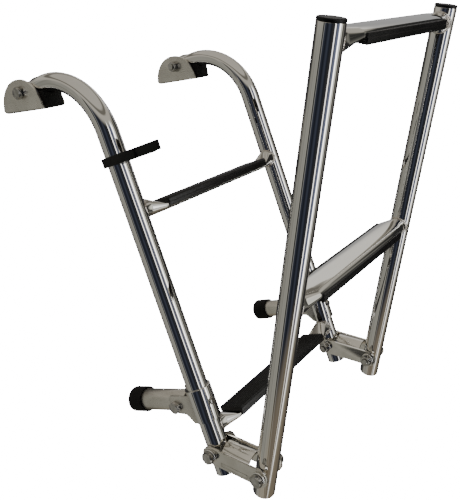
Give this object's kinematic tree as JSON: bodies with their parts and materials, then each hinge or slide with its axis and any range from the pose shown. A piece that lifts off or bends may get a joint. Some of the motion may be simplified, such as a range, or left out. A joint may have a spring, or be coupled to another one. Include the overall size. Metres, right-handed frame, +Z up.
{
  "type": "folding boat boarding ladder",
  "caption": "Folding stainless boarding ladder for a boat's stern, with goosenecked tubes, deck brackets, stand-off arms and rungs with black treads.",
  "frame": {"origin": "on the deck plane, midway between the two brackets, under the pivot bolts", "axes": "+Z up from the deck, +Y towards the boat, +X to the right seen from the water; the ladder hangs outboard on the -Y side"},
  "size_m": [0.3166, 0.4551, 0.4868],
  "materials": {
    "polished_steel": "mirror-polished stainless tube",
    "plain_steel": "satin stainless plate",
    "bright_steel": "bright stainless fasteners",
    "black_rubber": "matte moulded rubber",
    "black_tread": "matte ribbed tread",
    "black_plastic": "satin moulded plastic"
  },
  "bodies": {
    "deck_mounts": {"left_deck_bracket": "plain_steel", "left_bracket_pad": "black_rubber", "left_pivot_bolt": "bright_steel", "left_pivot_nut": "bright_steel", "right_deck_bracket": "plain_steel", "right_bracket_pad": "black_rubber", "right_pivot_bolt": "bright_steel", "right_pivot_nut": "bright_steel"},
    "upper_section": {"left_upper_tube": "polished_steel", "left_stand_off_clamp": "plain_steel", "left_clamp_screw": "bright_steel", "left_arm_bolt": "bright_steel", "left_arm_nut": "bright_steel", "right_upper_tube": "polished_steel", "right_stand_off_clamp": "plain_steel", "right_clamp_screw": "bright_steel", "right_arm_bolt": "bright_steel", "right_arm_nut": "bright_steel", "upper_rung_1": "polished_steel", "upper_rung_2": "polished_steel", "upper_tread_1": "black_tread", "upper_tread_2": "black_tread", "stowage_clip": "black_plastic"},
    "left_arm": {"left_arm_tube": "polished_steel", "left_rubber_foot": "black_rubber"},
    "right_arm": {"right_arm_tube": "polished_steel", "right_rubber_foot": "black_rubber"},
    "hinge_links": {"left_hinge_link": "plain_steel", "left_upper_link_bolt": "bright_steel", "left_upper_link_nut": "bright_steel", "left_upper_outer_washer": "bright_steel", "left_upper_inner_washer": "bright_steel", "left_lower_link_bolt": "bright_steel", "left_lower_link_nut": "bright_steel", "left_lower_outer_washer": "bright_steel", "left_lower_inner_washer": "bright_steel", "right_hinge_link": "plain_steel", "right_upper_link_bolt": "bright_steel", "right_upper_link_nut": "bright_steel", "right_upper_outer_washer": "bright_steel", "right_upper_inner_washer": "bright_steel", "right_lower_link_bolt": "bright_steel", "right_lower_link_nut": "bright_steel", "right_lower_outer_washer": "bright_steel", "right_lower_inner_washer": "bright_steel"},
    "lower_section": {"left_stile": "polished_steel", "left_stile_plug": "black_plastic", "right_stile": "polished_steel", "right_stile_plug": "black_plastic", "lower_rung_1": "polished_steel", "lower_rung_2": "polished_steel", "lower_tread_1": "black_tread", "lower_tread_2": "black_tread"}
  },
  "joints": [
    {"name": "upper_swing", "type": "hinge", "parent": "deck_mounts", "child": "upper_section", "pos_m": [0, 0, 0.0225], "axis": [-1, 0, 0], "range_deg": [0, 169]},
    {"name": "link_fold", "type": "hinge", "parent": "upper_section", "child": "hinge_links", "pos_m": [0, -0.18891, -0.4043], "axis": [1, 0, 0], "range_deg": [-19.5, 70.5]},
    {"name": "stile_fold", "type": "hinge", "parent": "hinge_links", "child": "lower_section", "pos_m": [0, -0.25319, -0.4139], "axis": [1, 0, 0], "range_deg": [-9.8, 80.2]},
    {"name": "left_arm_tilt", "type": "hinge", "parent": "upper_section", "child": "left_arm", "pos_m": [-0.135, -0.15016, -0.35172], "axis": [1, 0, 0], "range_deg": [-8, 8]},
    {"name": "right_arm_tilt", "type": "hinge", "parent": "upper_section", "child": "right_arm", "pos_m": [0.135, -0.15016, -0.35172], "axis": [1, 0, 0], "range_deg": [-8, 8]}
  ]
}
